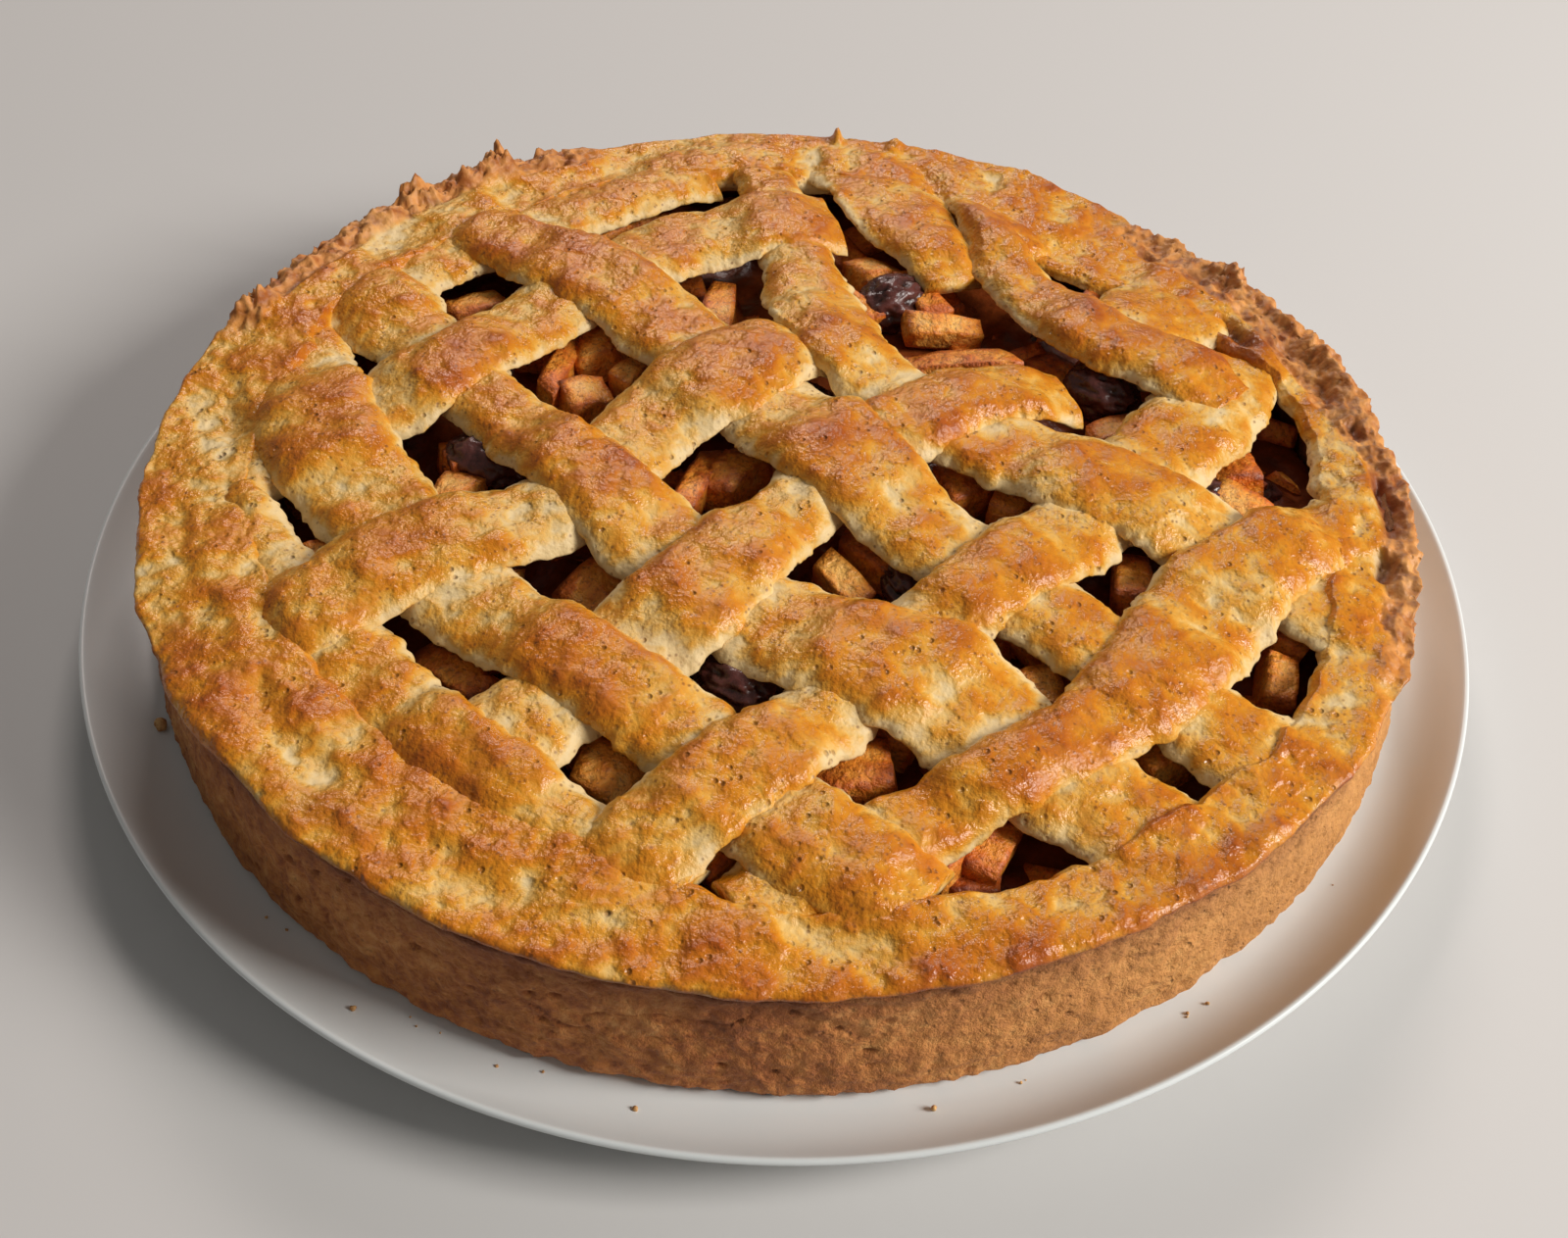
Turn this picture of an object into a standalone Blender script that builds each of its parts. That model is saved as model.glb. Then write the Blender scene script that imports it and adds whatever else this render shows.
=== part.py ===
# Dutch apple pie, 24 cm across, unmoulded and standing whole on its round serving dish.
# Metres, +Z up. The dish's foot stands on z = 0, the pie's front faces -Y.
import math

import bmesh
import bpy
import numpy as np
from mathutils import Matrix, Vector

for old in list(bpy.data.objects):
    bpy.data.objects.remove(old, do_unlink=True)

MM = 0.001
GAP = 0.35  # air left between neighbouring pieces, in mm like all sizes below

# dish
DISH_RADIUS = 137.0
DISH_RIM_Z = 14.0
WELL_Z = 7.0
WELL_RADIUS = 124.6
FOOT_RADIUS = 90.5
DISH_STEPS = 64

# crust case
PIE_Z = WELL_Z + 0.3
CASE_RADIUS = 120.0
CASE_INNER = 110.6
FLOOR_Z = PIE_Z + 6.5
CASE_STEPS = 84

# lattice
STRIP_THICKNESS = 3.7
LATTICE_EDGE = PIE_Z + 24.5
LATTICE_RISE = 4.5
STRIP_STEP = 5.0
FALL = 6.0

# filling
FILLING_Z = PIE_Z + 19.0
RAISIN = (6.2, 5.0, 4.4)

# Strips of dough as seen from above: centre x, y and half width along each one.
STRIPS = {
    "rising_1": [(-90, 43, 8), (-81, 57, 8), (-62, 72, 8), (-42, 88, 8.5), (-26, 103, 10)],
    "rising_2": [
        (-104, -14, 9), (-88, 1, 10), (-67, 23, 9.5), (-48, 49, 10), (-29, 69, 11.5),
        (-12, 77, 12), (8, 83, 11),
    ],
    "rising_3": [
        (-90, -58, 10), (-65, -33, 11), (-42, -18, 9.5), (-26, 8, 10.5), (-13, 22, 12.5),
        (6, 37, 10),
    ],
    "rising_4": [
        (-57, -90, 9), (-37, -67, 10), (-18, -45, 11), (-1, -20, 8.5), (15, 1, 9),
        (36, 18, 9.5), (57, 25, 8),
    ],
    "rising_5": [
        (-27, -107, 8), (-10, -86, 9), (7, -68, 8), (25, -47, 8), (50, -22, 9), (70, 1, 10),
        (88, 25, 11), (95, 37, 8),
    ],
    "rising_6": [
        (-4, -107, 7), (19, -92, 7.5), (46, -73, 7), (64, -57, 9.5), (77, -38, 11),
        (92, -22, 9), (108, -13, 8),
    ],
    "rising_7": [(45, 81, 9), (52, 88, 12), (58, 95, 12)],
    "rising_8": [(66, 38, 9), (78, 51, 12), (89, 63, 12)],
    "falling_1": [
        (-106, -21, 7), (-99, -32, 9), (-85, -50, 11), (-62, -75, 12), (-35, -95, 11),
        (-14, -108, 9),
    ],
    "falling_2": [
        (-110, 38, 9), (-96, 8, 12), (-77, -19, 11), (-55, -42, 9.5), (-35, -57, 9),
        (-15, -71, 9), (5, -91, 10), (24, -106, 9),
    ],
    "falling_3": [
        (-107, 55, 10), (-88, 41, 11), (-60, 13, 8), (-48, 1, 8), (-28, -20, 10), (-5, -42, 11),
        (27, -59, 12.5), (52, -80, 11), (76, -102, 9),
    ],
    "falling_4": [
        (-86, 88, 9), (-66, 68, 9), (-41, 53, 11), (-17, 30, 10.5), (5, 5, 12), (29, -22, 10),
        (55, -45, 8.5), (76, -66, 9), (92, -82, 8),
    ],
    "falling_5": [
        (-12, 112, 7), (-4, 88, 7), (1, 66, 7.5), (6, 45, 10), (20, 22, 9), (52, 0, 11),
        (74, -14, 11), (95, -31, 9), (110, -42, 8),
    ],
    "falling_6": [(13, 112, 10), (21, 94, 11), (29, 78, 8.2), (35, 63, 5)],
    "falling_7": [
        (36, 112, 6.5), (42, 90, 6), (48, 66, 6.5), (61, 46, 9), (76, 34, 9), (90, 21, 8),
    ],
}

# Where two strips cross, the one named first lies on top.
OVER = [
    ("falling_4", "rising_1"), ("falling_3", "rising_1"), ("falling_5", "rising_1"),
    ("falling_2", "rising_2"), ("rising_2", "falling_3"), ("falling_4", "rising_2"),
    ("rising_2", "falling_5"), ("falling_6", "rising_2"), ("rising_3", "falling_1"),
    ("rising_3", "falling_2"), ("falling_3", "rising_3"), ("rising_3", "falling_4"),
    ("falling_5", "rising_3"), ("falling_1", "rising_4"), ("falling_2", "rising_4"),
    ("rising_4", "falling_3"), ("falling_4", "rising_4"), ("rising_4", "falling_5"),
    ("rising_5", "falling_1"), ("rising_5", "falling_2"), ("falling_3", "rising_5"),
    ("rising_5", "falling_4"), ("falling_5", "rising_5"), ("falling_7", "rising_5"),
    ("falling_2", "rising_6"), ("rising_6", "falling_3"), ("rising_6", "falling_4"),
    ("rising_6", "falling_5"), ("falling_7", "rising_7"), ("falling_7", "rising_8"),
    ("falling_1", "rising_2"), ("rising_5", "rising_8"),
]

# Pieces of filling that show through the openings: x, y, long side, short side, turn in degrees.
APPLE = [
    (-40, 36, 9, 9, 10), (-42, 19, 10, 9, 30), (-48, 29, 23, 5, 80), (-33, 27, 8, 6, 60),
    (-69, 49, 13, 8, 30), (-60, -1, 15, 8, 20), (-63, -12, 9, 7, 70), (-85, -31, 11, 7, 10),
    (-33, -35, 12, 11, 40), (-26, -43, 10, 7, 110), (-17, -6, 20, 5, 75), (-10, -3, 12, 8, 60),
    (-55, -57, 18, 6, -38), (-52, -50, 10, 8, 20), (-30, -69, 12, 8, 15), (-26, -78, 13, 10, -30),
    (-6, -92, 10, 8, 40), (19, -25, 20, 6, -48), (12, -31, 13, 6, -50), (22, -65, 10, 8, 70),
    (14, -76, 15, 10, 10), (36, -88, 12, 8, 70), (29, -91, 11, 7, 50), (51, -46, 20, 7, -42),
    (45, -55, 12, 8, 10), (35, -3, 10, 9, 20), (45, -7, 11, 8, 60), (-16, 51, 18, 7, 85),
    (-43, 80, 9, 6, 40), (18, 69, 11, 10, 20), (28, 61, 15, 6, -60), (33, 50, 17, 9, 5),
    (35, 39, 27, 7, -4), (14, 55, 10, 6, -50), (68, 17, 12, 8, 20), (66, 61, 10, 8, 40),
    (90, 7, 11, 9, 10), (88, -5, 12, 10, 50), (66, -27, 12, 7, 85), (94, -38, 8, 6, 60),
    (90, -48, 10, 6, 80), (67, -67, 10, 8, 30),
]
RAISINS = [(-57, -4, 0), (-5, -52, 1), (26, -32, 0), (22, 57, 1), (64, 29, 1), (83, -1, 0), (4, 20, 0)]


def smooth_step(a, b, value):
    """0 below a, 1 above b, smooth between."""
    t = np.clip((np.asarray(value, float) - a) / (b - a), 0.0, 1.0)
    return t * t * (3.0 - 2.0 * t)


def lattice_base(x, y):
    """Height on which the lowest strips lie: a shallow dome."""
    return LATTICE_EDGE + LATTICE_RISE * (1.0 - np.minimum((x * x + y * y) / 110.0 ** 2, 1.0))


def route(rows, step):
    """Even points of a smooth curve through the rows, with direction and half width."""
    p = np.array(rows, float)
    ends = np.vstack([2 * p[0] - p[1], p, 2 * p[-1] - p[-2]])
    ends[0, 2] = p[0, 2]
    ends[-1, 2] = p[-1, 2]
    fine = []
    for a, b, c, d in zip(ends, ends[1:], ends[2:], ends[3:]):
        t = np.linspace(0.0, 1.0, 24, endpoint=False)[:, None]
        curve = 2 * b + (c - a) * t + (2 * a - 5 * b + 4 * c - d) * t ** 2
        fine.append(0.5 * (curve + (3 * b - a - 3 * c + d) * t ** 3))
    fine = np.vstack(fine + [p[-1:]])
    # the rows were read off one flat level, so that higher dough moves a little to the front
    dome = 1.0 - np.minimum((fine[:, 0] ** 2 + fine[:, 1] ** 2) / 110.0 ** 2, 1.0)
    fine[:, 1] += 0.5 - 4.4 * dome
    run = np.concatenate([[0.0], np.cumsum(np.hypot(*np.diff(fine[:, :2], axis=0).T))])
    inside = np.hypot(fine[:, 0], fine[:, 1]) < CASE_INNER - 1.4
    first, last = run[inside][0], run[inside][-1]
    s = np.linspace(first, last, max(3, int(round((last - first) / step)) + 1))
    at = np.stack([np.interp(s, run, fine[:, k]) for k in range(3)], 1)
    along = np.gradient(at[:, :2], axis=0)
    along /= np.linalg.norm(along, axis=1)[:, None]
    return at, along


class Strip:
    def __init__(self, name, rows, step):
        self.name = name
        self.at, self.along = route(rows, step)
        self.side = np.stack([-self.along[:, 1], self.along[:, 0]], 1)
        self.bottom = lattice_base(self.at[:, 0], self.at[:, 1])

    def top_at(self, q, margin):
        """Top of this strip at points q, falling to its bed beside it; and how far q is inside."""
        gap = q[:, None, :] - self.at[None, :, :2]
        along = np.abs(np.einsum("ijk,jk->ij", gap, self.along))
        across = np.abs(np.einsum("ijk,jk->ij", gap, self.side))
        far = np.hypot(np.maximum(along - 3.0, 0.0), np.maximum(across - self.at[:, 2], 0.0))
        out = far.min(axis=1)
        near = far <= out[:, None] + 0.6
        bed = np.where(near, self.bottom[None, :], -1000.0).max(axis=1)
        inside = 1.0 - smooth_step(margin, margin + FALL, out)
        return bed + STRIP_THICKNESS, inside


def weave(strips):
    """Lifts each strip over the ones it crosses."""
    for _ in range(5):
        for strip in strips.values():
            base = lattice_base(strip.at[:, 0], strip.at[:, 1])
            lift = np.zeros(len(base))
            for over, under in OVER:
                if over != strip.name:
                    continue
                for u in (-1.0, -0.5, 0.0, 0.5, 1.0):
                    q = strip.at[:, :2] + strip.side * (u * strip.at[:, 2:3])
                    top, inside = strips[under].top_at(q, 1.8)
                    lift = np.maximum(lift, inside * (top + GAP + 0.15 - base))
            strip.bottom = base + lift


def new_collection(name):
    made = bpy.data.collections.new(name)
    bpy.context.scene.collection.children.link(made)
    return made


PIE = new_collection("dutch_apple_pie")


def material(name, colour, roughness):
    made = bpy.data.materials.new(name)
    made.use_nodes = True
    shader = made.node_tree.nodes["Principled BSDF"]
    shader.inputs["Base Color"].default_value = (*colour, 1.0)
    shader.inputs["Roughness"].default_value = roughness
    return made


GLAZED = material("glazed_dough", (0.56, 0.27, 0.07), 0.35)
WALL = material("baked_wall", (0.42, 0.21, 0.08), 0.7)
FRUIT = material("apple_and_raisin", (0.40, 0.15, 0.05), 0.45)
PORCELAIN = material("porcelain", (0.74, 0.73, 0.70), 0.15)


def add_object(name, verts, faces, look, into=PIE):
    mesh = bpy.data.meshes.new(name)
    mesh.from_pydata([tuple(v) for v in np.asarray(verts) * MM], [], [tuple(f) for f in faces])
    mesh.materials.append(look)
    mesh.shade_smooth()
    made = bpy.data.objects.new(name, mesh)
    into.objects.link(made)
    return made


def ring_faces(rings, count):
    """Quads between rings of count points, ring after ring."""
    faces = []
    for i in range(rings - 1):
        for j in range(count):
            k = (j + 1) % count
            faces.append((i * count + j, (i + 1) * count + j, (i + 1) * count + k, i * count + k))
    return faces


def make_dish():
    profile = [
        (0.0, WELL_Z), (WELL_RADIUS, WELL_Z), (128.6, 8.2), (132.4, 10.7), (135.2, DISH_RIM_Z - 0.5),
        (136.2, DISH_RIM_Z), (DISH_RADIUS, DISH_RIM_Z - 0.6), (136.5, 12.3), (132.5, 8.4), (124.0, 4.6),
        (110.0, 3.1), (FOOT_RADIUS + 1.5, 2.6), (FOOT_RADIUS, 0.0), (FOOT_RADIUS - 4.0, 0.0),
        (FOOT_RADIUS - 5.5, 2.6), (0.0, 2.6),
    ]
    mesh = bpy.data.meshes.new("dish")
    edges = [(i, i + 1) for i in range(len(profile) - 1)]
    mesh.from_pydata([(x * MM, 0.0, z * MM) for x, z in profile], edges, [])
    mesh.materials.append(PORCELAIN)
    made = bpy.data.objects.new("dish", mesh)
    PIE.objects.link(made)
    turn = made.modifiers.new("turn", "SCREW")
    turn.axis = "Z"
    turn.angle = math.tau
    turn.steps = DISH_STEPS
    turn.render_steps = DISH_STEPS
    turn.use_merge_vertices = True
    turn.merge_threshold = 0.00001
    turn.use_normal_calculate = True
    turn.use_smooth_shade = True


def rim_height(turn):
    """Top of the crust over the pie's base: level in front, knobbly at the back left."""
    left = smooth_step(0.45, 0.8, np.sin(turn - 0.75))
    knobs = left * (2.2 + 2.2 * np.sin(turn * 41.0) * np.sin(turn * 17.0 + 1.0))
    slow = 0.45 * np.sin(turn * 5.0 + 0.6) + 0.3 * np.sin(turn * 11.0 + 2.0)
    return 28.7 + knobs + slow


def make_case():
    rng = np.random.default_rng(7)
    turns = np.linspace(0.0, math.tau, CASE_STEPS, endpoint=False)
    top = PIE_Z + rim_height(turns)
    bulge = 0.5 * np.sin(turns * 3.0 + 1.2) + 0.35 * np.sin(turns * 8.0)
    bulge = bulge + rng.uniform(-0.25, 0.25, CASE_STEPS)
    sections = [
        (CASE_RADIUS + 1.9 + 0 * turns, PIE_Z + 0 * turns),
        (CASE_RADIUS + 3.2 + 0.2 * bulge, PIE_Z + 1.6 + 0 * turns),
        (CASE_RADIUS + 2.7 + 0.5 * bulge, PIE_Z + 10.0 + 0 * turns),
        (CASE_RADIUS + 1.4 + 0.6 * bulge, PIE_Z + 18.0 + 0 * turns),
        (CASE_RADIUS + 0.3 + 0.8 * bulge, top - 4.6),
        (CASE_RADIUS + 1.4 + bulge, top - 3.2),
        (CASE_RADIUS + 1.2 + bulge, top - 1.5),
        (CASE_RADIUS - 0.6 + 0.6 * bulge, top - 0.4),
        (CASE_RADIUS - 5.0 + 0 * turns, top + 0.3 * bulge),
        (CASE_INNER + 0.8 + 0 * turns, top - 0.8),
        (CASE_INNER + 0 * turns, top - 2.4),
        (CASE_INNER + 0 * turns, FLOOR_Z + 2.5 + 0 * turns),
        (CASE_INNER - 2.5 + 0 * turns, FLOOR_Z + 0 * turns),
    ]
    verts = []
    for radius, height in sections:
        for r, turn, z in zip(radius, turns, height):
            verts.append((r * math.cos(turn), r * math.sin(turn), z))
    n = CASE_STEPS
    faces = [(a, d, c, b) for a, b, c, d in ring_faces(len(sections), n)]
    low = len(verts)
    verts.append((0.0, 0.0, PIE_Z))
    verts.append((0.0, 0.0, FLOOR_Z))
    last = (len(sections) - 1) * n
    for j in range(n):
        k = (j + 1) % n
        faces.append((low, k, j))
        faces.append((low + 1, last + j, last + k))
    return add_object("crust_case", verts, faces, WALL)


def make_strip(strip):
    """Flat underneath, crowned on top, pinched a little where it meets the rim."""
    section = [(-0.94, 0.0), (0.94, 0.0), (1.0, 0.3), (0.86, 0.78)]
    section += [(0.4, 1.0), (-0.4, 1.0), (-0.86, 0.78), (-1.0, 0.3)]
    limit = CASE_INNER - GAP
    verts = []
    for at, side, bottom in zip(strip.at, strip.side, strip.bottom):
        for u, h in section:
            x = at[0] + side[0] * u * at[2]
            y = at[1] + side[1] * u * at[2]
            r = math.hypot(x, y)
            if r > limit:
                x, y = x * limit / r, y * limit / r
            verts.append((x, y, bottom + h * STRIP_THICKNESS))
    n = len(section)
    faces = [(a, d, c, b) for a, b, c, d in ring_faces(len(strip.at), n)]
    faces.append(tuple(reversed(range(n))))
    faces.append(tuple(range(len(verts) - n, len(verts))))
    return add_object("strip_" + strip.name, verts, faces, GLAZED)


def make_filling():
    heap = new_collection("pieces")
    rng = np.random.default_rng(11)
    steps, rings = 48, 7
    verts = [(0.0, 0.0, FLOOR_Z + GAP), (0.0, 0.0, FILLING_Z + 2.0)]
    radius = CASE_INNER - GAP
    rows = [(radius - 2.8, FLOOR_Z + GAP), (radius, FLOOR_Z + 2.9), (radius, FILLING_Z - 1.0)]
    for i in range(1, rings):
        share = 1.0 - i / rings
        rows.append((radius * share, FILLING_Z + 2.0 * (1.0 - share ** 2)))
    for i, (r, z) in enumerate(rows):
        for j in range(steps):
            turn = math.tau * j / steps
            lump = rng.uniform(-0.9, 0.9) if i > 2 else 0.0
            verts.append((r * math.cos(turn), r * math.sin(turn), z + lump))
    faces = [tuple(v + 2 for v in (a, d, c, b)) for a, b, c, d in ring_faces(len(rows), steps)]
    last = 2 + (len(rows) - 1) * steps
    for j in range(steps):
        k = (j + 1) % steps
        faces.append((0, 2 + k, 2 + j))
        faces.append((1, last + j, last + k))
    core = add_object("filling", verts, faces, FRUIT)
    for x, y, long, short, degrees in APPLE:
        ceiling = float(lattice_base(np.array(x), np.array(y))) - GAP
        tilt = rng.uniform(-0.22, 0.22)
        high = short * rng.uniform(0.75, 1.0) + 2.0
        turn = Matrix.Rotation(math.radians(degrees), 3, "Z") @ Matrix.Rotation(tilt, 3, "Y")
        corners = []
        for sz in (-0.5, 0.5):
            for sx, sy in ((-0.5, -0.5), (0.5, -0.5), (0.5, 0.5), (-0.5, 0.5)):
                small = 0.82 if sz > 0 else 1.0
                corners.append(turn @ Vector((sx * long * small, sy * short * small, sz * high)))
        top = max(c.z for c in corners)
        lift = min(ceiling - rng.uniform(0.6, 2.4), FILLING_Z + 6.2) - top
        points = [(c.x + x, c.y + y, c.z + lift) for c in corners]
        quads = [(3, 2, 1, 0), (4, 5, 6, 7), (0, 1, 5, 4), (1, 2, 6, 5), (2, 3, 7, 6), (3, 0, 4, 7)]
        add_object("apple", points, quads, FRUIT, heap)
    for x, y, large in RAISINS:
        ceiling = float(lattice_base(np.array(x), np.array(y))) - GAP
        ball = bmesh.new()
        bmesh.ops.create_icosphere(ball, subdivisions=2, radius=1.0)
        size = 1.25 if large else 0.95
        turn = Matrix.Rotation(rng.uniform(0, math.pi), 3, "Z")
        points = []
        for vert in ball.verts:
            p = vert.co * (1.0 + rng.uniform(-0.07, 0.07))
            p = turn @ Vector((p.x * RAISIN[0] * size, p.y * RAISIN[1] * size, p.z * RAISIN[2] * size))
            points.append((p.x + x, p.y + y, p.z + ceiling - 1.8 - RAISIN[2] * size))
        ball.verts.index_update()
        triangles = [tuple(v.index for v in f.verts) for f in ball.faces]
        ball.free()
        add_object("raisin", points, triangles, FRUIT, heap)
    fuse = core.modifiers.new("pieces", "BOOLEAN")
    fuse.operation = "UNION"
    fuse.operand_type = "COLLECTION"
    fuse.collection = heap
    fuse.solver = "EXACT"
    bpy.context.view_layer.objects.active = core
    core.select_set(True)
    bpy.ops.object.modifier_apply(modifier=fuse.name)
    for piece in list(heap.objects):
        bpy.data.objects.remove(piece, do_unlink=True)
    bpy.data.collections.remove(heap)
    core.data.materials.clear()
    core.data.materials.append(FRUIT)
    return core


strips = {name: Strip(name, rows, STRIP_STEP) for name, rows in STRIPS.items()}
weave(strips)
make_dish()
make_case()
make_filling()
for each in strips.values():
    make_strip(each)
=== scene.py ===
import itertools
import math

import bmesh
import bpy
import numpy as np
from mathutils import Matrix, Vector


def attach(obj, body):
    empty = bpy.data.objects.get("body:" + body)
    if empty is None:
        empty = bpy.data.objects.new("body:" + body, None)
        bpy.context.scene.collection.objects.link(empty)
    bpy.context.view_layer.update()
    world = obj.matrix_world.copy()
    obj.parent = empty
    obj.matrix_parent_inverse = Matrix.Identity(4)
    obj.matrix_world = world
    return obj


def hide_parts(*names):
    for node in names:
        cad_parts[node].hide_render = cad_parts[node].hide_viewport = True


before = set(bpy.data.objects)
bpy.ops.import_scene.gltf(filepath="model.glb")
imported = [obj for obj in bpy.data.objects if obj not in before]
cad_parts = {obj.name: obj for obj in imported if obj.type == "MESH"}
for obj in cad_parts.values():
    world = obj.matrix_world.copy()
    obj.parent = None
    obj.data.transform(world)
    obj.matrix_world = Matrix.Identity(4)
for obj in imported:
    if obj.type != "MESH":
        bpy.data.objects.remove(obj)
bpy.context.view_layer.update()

MM = 0.001
TAU = math.tau

# Sizes, in mm. The dish stands on z = 0 and the pie in the dish's flat well.
WELL_Z = 7.0
PIE_Z = WELL_Z + 0.3
CASE_RADIUS = 120.0
CASE_INNER = 110.6
FLOOR_Z = PIE_Z + 6.5
FLOOR_DEPTH = 3.0
FILLING_Z = PIE_Z + 19.0
RAISIN = (6.2, 5.0, 4.4)  # half length, width and height

# The lattice lies on a low dome.
LATTICE_EDGE = PIE_Z + 24.5
LATTICE_RISE = 4.5
LATTICE_RADIUS = 110.0
STRIP_THICKNESS = 3.7
STRIP_STEP = 0.7  # between two cross-sections of a strip
TOP_POINTS, UNDER_POINTS = 29, 7  # round one cross-section
GAP = 0.5  # between a strip and the one that it lies on
FALL = 7.0  # the run in which a strip comes down again beside one that it crosses

# Strips of dough seen from above: centre x, y and half width along each one.
STRIPS = {
    "rising_1": [(-90, 43, 8), (-81, 57, 8), (-62, 72, 8), (-42, 88, 8.5), (-26, 103, 10)],
    "rising_2": [
        (-104, -14, 9), (-88, 1, 10), (-67, 23, 9.5), (-48, 49, 10), (-29, 69, 11.5),
        (-12, 77, 12), (8, 83, 11),
    ],
    "rising_3": [
        (-90, -58, 10), (-65, -33, 11), (-42, -18, 9.5), (-26, 8, 10.5), (-13, 22, 12.5),
        (6, 37, 10),
    ],
    "rising_4": [
        (-57, -90, 9), (-37, -67, 10), (-18, -45, 11), (-1, -20, 8.5), (15, 1, 9),
        (36, 18, 9.5), (57, 25, 8),
    ],
    "rising_5": [
        (-27, -107, 8), (-10, -86, 9), (7, -68, 8), (25, -47, 8), (50, -22, 9), (70, 1, 10),
        (88, 25, 11), (95, 37, 8),
    ],
    "rising_6": [
        (-4, -107, 7), (19, -92, 7.5), (46, -73, 7), (64, -57, 9.5), (77, -38, 11),
        (92, -22, 9), (108, -13, 8),
    ],
    "rising_7": [(45, 81, 9), (52, 88, 12), (58, 95, 12)],
    "rising_8": [(66, 38, 9), (78, 51, 12), (89, 63, 12)],
    "falling_1": [
        (-106, -21, 7), (-99, -32, 9), (-85, -50, 11), (-62, -75, 12), (-35, -95, 11),
        (-14, -108, 9),
    ],
    "falling_2": [
        (-110, 38, 9), (-96, 8, 12), (-77, -19, 11), (-55, -42, 9.5), (-35, -57, 9),
        (-15, -71, 9), (5, -91, 10), (24, -106, 9),
    ],
    "falling_3": [
        (-107, 55, 10), (-88, 41, 11), (-60, 13, 8), (-48, 1, 8), (-28, -20, 10), (-5, -42, 11),
        (27, -59, 12.5), (52, -80, 11), (76, -102, 9),
    ],
    "falling_4": [
        (-86, 88, 9), (-66, 68, 9), (-41, 53, 11), (-17, 30, 10.5), (5, 5, 12), (29, -22, 10),
        (55, -45, 8.5), (76, -66, 9), (92, -82, 8),
    ],
    "falling_5": [
        (-12, 112, 7), (-4, 88, 7), (1, 66, 7.5), (6, 45, 10), (20, 22, 9), (52, 0, 11),
        (74, -14, 11), (95, -31, 9), (110, -42, 8),
    ],
    "falling_6": [(13, 112, 10), (21, 94, 11), (29, 78, 8.2), (35, 63, 5)],
    "falling_7": [
        (36, 112, 6.5), (42, 90, 6), (48, 66, 6.5), (61, 46, 9), (76, 34, 9), (90, 21, 8),
    ],
}

# Where strips cross, the first one lies on the others.
OVER = {
    "falling_1": ["rising_2", "rising_4"],
    "falling_2": ["rising_2", "rising_4", "rising_6"],
    "falling_3": ["rising_1", "rising_3", "rising_5"],
    "falling_4": ["rising_1", "rising_2", "rising_4"],
    "falling_5": ["rising_1", "rising_3", "rising_5"],
    "falling_6": ["rising_2"],
    "falling_7": ["rising_5", "rising_7", "rising_8"],
    "rising_2": ["falling_3", "falling_5"],
    "rising_3": ["falling_1", "falling_2", "falling_4"],
    "rising_4": ["falling_3", "falling_5"],
    "rising_5": ["falling_1", "falling_2", "falling_4", "rising_8"],
    "rising_6": ["falling_3", "falling_4", "falling_5"],
}
# The rows are read as if the lattice were flat. This shift along y sets them right on its dome.
SHIFT_AT_EDGE, SHIFT_ON_DOME = 0.5, -4.4
# How much wider than its rows a strip is, on each side.
SPREAD = {"falling_6": 2.4, "rising_7": 2.0, "rising_8": 1.6}
USUAL_SPREAD = 0.7

# Pieces of filling that show through the openings: x, y, long side, short side, turn in degrees.
APPLE = [
    (-40, 36, 9, 9, 10), (-42, 19, 10, 9, 30), (-48, 29, 23, 5, 80), (-33, 27, 8, 6, 60),
    (-69, 49, 13, 8, 30), (-60, -1, 15, 8, 20), (-63, -12, 9, 7, 70), (-85, -31, 11, 7, 10),
    (-33, -35, 12, 11, 40), (-26, -43, 10, 7, 110), (-17, -6, 20, 5, 75), (-10, -3, 12, 8, 60),
    (-55, -57, 18, 6, -38), (-52, -50, 10, 8, 20), (-30, -69, 12, 8, 15), (-26, -78, 13, 10, -30),
    (-6, -92, 10, 8, 40), (19, -25, 20, 6, -48), (12, -31, 13, 6, -50), (22, -65, 10, 8, 70),
    (14, -76, 15, 10, 10), (36, -88, 12, 8, 70), (29, -91, 11, 7, 50), (51, -46, 20, 7, -42),
    (45, -55, 12, 8, 10), (35, -3, 10, 9, 20), (45, -7, 11, 8, 60), (-16, 51, 18, 7, 85),
    (-43, 80, 9, 6, 40), (18, 69, 11, 10, 20), (28, 61, 15, 6, -60), (33, 50, 17, 5.5, 5),
    (35, 39, 27, 7, -4), (14, 55, 10, 6, -50), (68, 17, 12, 8, 20), (66, 61, 10, 8, 40),
    (90, 7, 11, 9, 10), (88, -5, 12, 10, 50), (66, -27, 12, 7, 85), (94, -38, 8, 6, 60),
    (90, -48, 10, 6, 80), (67, -67, 10, 8, 30),
]
# Raisins that show: x, y, and whether it is a large one.
RAISINS = [
    (-59, -2, True), (-6, -57, True), (24, -31, False), (22, 59, True), (66, 31, True),
    (83, -1, False), (4, 20, False),
]
APPLE_DRAWN, RAISINS_DRAWN = 230, 12

# The pressed rim's reach inwards: degrees round the pie, distance from its middle.
RIM_REACH = [
    (0, 104), (12, 106), (30, 101), (42, 94), (50, 91), (60, 93), (75, 99), (95, 100),
    (120, 102), (140, 100), (160, 102), (180, 101), (205, 99), (240, 97), (258, 101),
    (272, 106), (300, 107), (325, 107), (345, 105), (360, 104),
]
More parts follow.
